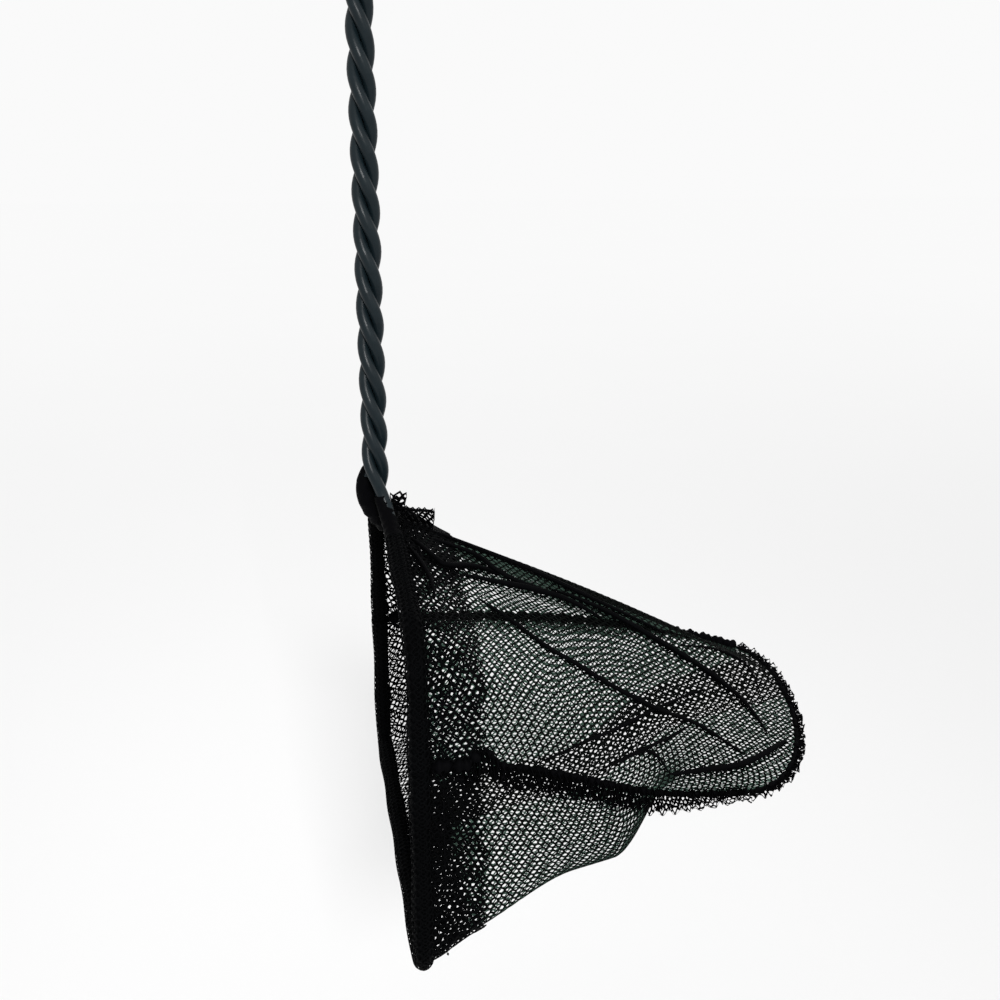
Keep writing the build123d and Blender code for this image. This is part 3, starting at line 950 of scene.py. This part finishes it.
def add_tail_seam(name, line, seed):
    """The seam round the tail: its stitch line and a ruffle of two cut edges that stands out from it."""
    tangent = unit(np.gradient(line, axis=0))
    out = unit(np.cross(tangent, AXIS_Z))
    over = np.broadcast_to(AXIS_Z, line.shape)
    parts = [
        bead(line, radius=0.65, seed=seed),
        band(line, out, over, width=2.0, wave=0.7, seed=seed + 1),
        band(line, out, over, width=1.6, wave=1.0, seed=seed + 2),
        zigzag(line, out, over, low=-0.2, high=1.8, seed=seed + 3),
    ]
    return add_mesh(name, *join(parts), seam_thread)


def humped_near_seam(share):
    """The near seam's line, raised where the hem ends: a bell curve of the depth."""
    past_hem = share * BAG_DEPTH - HEM_DEPTH - 1
    hump = HEM_HUMP * np.exp(-(past_hem / HEM_HUMP_WIDTH) ** 2)
    return side_seam(NEAR, share) + AXIS_Z * hump[:, None]


seam_share = np.linspace(SLEEVE_RADIUS / BAG_DEPTH, 1, SEAM_POINTS)
near_seam = add_side_seam("near_seam", NEAR, humped_near_seam(seam_share), radius=0.75, seed=41)
far_seam = add_side_seam("far_seam", FAR, side_seam(FAR, seam_share), radius=1.5, seed=42)
tail_seam = add_tail_seam("tail_seam_bead", tail_seam_line(SEAM_POINTS), seed=43)
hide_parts("near_side_seam")
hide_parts("far_side_seam")
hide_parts("tail_seam")


# Loose cloth at the neck

flap_phase, lump_phase = np.random.default_rng(71).uniform(0, 2 * math.pi, 2)


def neck_flap_net(flat, lift):
    """The hem's free edge standing up behind the handle: it rises from the ridge, higher towards the
    tail, and leans to and fro by a sine of each coordinate."""
    share = np.clip(flat[:, 0] / FLAP_LENGTH, 0, 1)
    height = np.clip(flat[:, 1], 0, None) * mix(0.75, 1.1, share)
    lean = 0.6 * np.sin(flat[:, 0] * 0.8 + flap_phase) + 0.5 * np.sin(flat[:, 1] * 1.3)
    base = ridge(mix(FLAP_START, FLAP_END, share) / BAG_DEPTH)
    return base + point(0.1 * height, lift + lean - 0.15 * height, height)


def neck_tuft_net(flat, lift):
    """A tuft beside the flap: part of a cone that opens upward, a cosine and a sine of the turn."""
    turn = flat[:, 0] * 0.5
    rise = np.clip(flat[:, 1], 0, None)
    reach = 1.2 + 0.25 * rise
    return NECK + point(2.4 + reach * np.cos(turn), reach * np.sin(turn) + lift, 1.5 + rise)


def flap_edge():
    """The rolled edge along the top of the flap."""
    stations = 30
    line = np.stack([np.linspace(0, FLAP_LENGTH, stations), np.full(stations, FLAP_EDGE)], -1)
    return tube(neck_flap_net(line, np.zeros(stations)), radius=0.45, sides=8)


def sleeve_ends():
    """The ends of both sleeves at the neck, tubes along Bezier curves with small lumps: the far one is
    gathered up behind the handle, and the near one lies close to the wire's bend."""
    stations, sides = 40, 16
    share = np.linspace(0, 1, stations)
    lump = 1 + 0.07 * np.sin(share * 37 + lump_phase)[:, None] * np.sin(np.arange(sides) * math.pi / 4)
    far = bezier([point(*place) for place in FAR_CUFF], share)
    far_radius = mix(*FAR_CUFF_RADIUS, np.sin(math.pi * share)) * np.sqrt(1.06 - share ** 3)
    bar = on_top_bar(NEAR, NEAR_CUFF_END)
    near = bezier([*(point(*place) for place in NEAR_CUFF), mix(bar, NECK, 0.5), bar], share)
    near_radius = mix(*NEAR_CUFF_RADIUS, share)
    return [tube(far, far_radius[:, None] * lump, sides), tube(near, near_radius[:, None] * lump, sides)]


def add_neck_flap():
    """The ends of the cloth at the neck: a doubled flap with a rolled edge, a tuft and the sleeves' ends."""
    flap_cells = cells((0, 0), (FLAP_LENGTH, FLAP_HEIGHT))
    tuft_cells = cells((0, 0), (TUFT_LENGTH, FLAP_HEIGHT))

    def second_layer(flat, lift):
        """The flap again, set along and beside the first layer."""
        return neck_flap_net(flat + 0.6, lift + 0.8)

    parts = [
        net(flap_cells, neck_flap_net, UP, width=0.6, seed=72, unrest=0.16),
        net(flap_cells, second_layer, UP, width=0.6, seed=73, unrest=0.16),
        net(tuft_cells, neck_tuft_net, UP, width=1.0, seed=74, unrest=0.2),
        flap_edge(),
        *sleeve_ends(),
    ]
    return add_mesh("neck_flap", *join(parts), seam_thread)


neck_flap = add_neck_flap()
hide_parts("upper_hem")


# Stitches that close the sleeves

def add_stitches(name, panel):
    """Dashes of thread along the hem: tubes that arch over the net by half a sine wave."""
    end_gap, stations = 2, 7
    near, far = panel.limits(np.array([STITCH_DEPTH]))
    reach = np.arange(near[0] + end_gap, far[0] - end_gap, STITCH_PITCH)
    share = np.linspace(0, 1, stations)
    flat = np.stack(np.broadcast_arrays(STITCH_DEPTH, reach[:, None] + STITCH_LENGTH * share), -1)
    lift = np.broadcast_to(STITCH_LIFT + STITCH_ARCH * np.sin(math.pi * share), flat.shape[:2])
    parts = [tube(line, radius=0.25, sides=6) for line in panel.place(flat, lift)]
    return add_mesh(name, *join(parts), seam_thread)


upper_stitches = add_stitches("upper_stitches", upper)
lower_stitches = add_stitches("lower_stitches", lower)
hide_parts("upper_hem_stitching")
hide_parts("lower_hem_stitching")


# The panels' mean widths and thread areas, worked out but not kept

def thread_area(widths):
    """The area that threads of a sum of cell widths cover, in square metres."""
    ring = hexagon()
    edges = np.linalg.norm(np.roll(ring, -1, axis=0) - ring, axis=1).sum() / 2
    return float(edges * widths * MM * MM)


def declare(piece, panel, widths):
    """Works out a panel's mean width from seam to seam past the hem, and the area of its threads; neither is
    kept.
    """
    stations = 50
    near, far = panel.limits(np.linspace(HEM_DEPTH, BAG_DEPTH, stations))
    width = float(np.mean(far - near)) * MM
    thread_area(widths)


declare(upper_panel, upper, upper_widths)
declare(lower_panel, lower, lower_widths)


# Stage, with the lamps and the floor in metres

FLOOR_SIZE = 40.0
FLOOR_DROP = 0.16
LAMPS_MIDDLE = 0.3
LAMP_SPREAD = math.radians(50)
LAMPLIT_GLOW = (0.022, 0.022, 0.022, 1)
UNLIT_GLOW = (0.157, 0.157, 0.157, 1)
BACKGROUND = (0.955, 0.955, 0.955, 1)
WORLD_STRENGTH = 0.95


def add_camera():
    """The photograph's view: a 40 mm lens on a 36 mm sensor, nearly side on and a little from above."""
    data = bpy.data.cameras.new("camera")
    data.sensor_width = 36.0
    data.lens = 40.0
    camera = bpy.data.objects.new("camera", data)
    place = Vector((-18.755, -293.688, 76.771)) * MM
    azimuth, elevation, roll = (math.radians(degrees) for degrees in (-10.23, 15.58, -0.3))
    aim = Matrix.Rotation(azimuth, 4, "Z") @ Matrix.Rotation(math.pi / 2 - elevation, 4, "X")
    camera.matrix_world = Matrix.Translation(place) @ aim @ Matrix.Rotation(roll, 4, "Z")
    bpy.context.scene.collection.objects.link(camera)
    bpy.context.scene.camera = camera


def add_lamp(name, place, target, size, power):
    """A soft square lamp turned towards a target, with a grid that keeps its light in a beam."""
    data = bpy.data.lights.new(name, "AREA")
    data.size = size
    data.spread = LAMP_SPREAD
    data.energy = power
    lamp = bpy.data.objects.new(name, data)
    aim = Vector(target) - Vector(place)
    lamp.matrix_world = Matrix.Translation(place) @ aim.to_track_quat("-Z", "Y").to_matrix().to_4x4()
    bpy.context.scene.collection.objects.link(lamp)


def add_floor():
    """A wide pale floor, well below the hanging net, with its origin in the middle of the lamps' light.
    It glows a little where the lamps do not reach, so that it stays as pale as the background."""
    height = FRAME_BOTTOM * MM - FLOOR_DROP
    mesh = bpy.data.meshes.new("floor")
    corners = [(x * FLOOR_SIZE, y * FLOOR_SIZE, height) for x, y in ((-1, -1), (1, -1), (1, 1), (-1, 1))]
    mesh.from_pydata(corners, [], [(0, 1, 2, 3)])
    finish = Finish("pale_floor", Roughness=0.9, Specular_IOR_Level=0.0, Emission_Strength=1.0)
    place = finish.node("TexCoord", output="Object")
    away = finish.node("VectorMath", {"operation": "LENGTH"}, "Value", Vector=place)
    lamplit = (away * away * 0.6 + 1.0).math("POWER", -1.5)
    grain = finish.noise(3.0)
    finish.set(Base_Color=finish.blend(grain, (0.87, 0.87, 0.87, 1), (0.88, 0.88, 0.88, 1)),
               Emission_Color=finish.blend(lamplit, UNLIT_GLOW, LAMPLIT_GLOW))
    mesh.materials.append(finish.material)
    floor = bpy.data.objects.new("floor", mesh)
    floor.location.y = LAMPS_MIDDLE
    bpy.context.scene.collection.objects.link(floor)


def add_world():
    """Even pale light, white where the camera or a reflection looks at it."""
    world = bpy.data.worlds.new("studio")
    world.use_nodes = True
    bpy.context.scene.world = world
    tree = world.node_tree
    path = tree.nodes.new("ShaderNodeLightPath")
    seen = Socket(tree, path.outputs["Is Camera Ray"])
    mirrored = Socket(tree, path.outputs["Is Glossy Ray"])
    background = tree.nodes["Background"]
    background.inputs["Color"].default_value = BACKGROUND
    strength = (seen + mirrored) * (1.0 - WORLD_STRENGTH) + WORLD_STRENGTH
    connect(tree, strength, background.inputs["Strength"])


bpy.context.scene.view_settings.view_transform = "Standard"
add_camera()
add_lamp("key", place=(0.02, -1.0, 0.5), target=(0.0, 0.0, 0.05), size=0.15, power=0.7)
add_lamp("fill", place=(0.9, -0.7, 0.3), target=(0.03, 0.0, -0.05), size=0.6, power=0.1)
add_floor()
add_world()
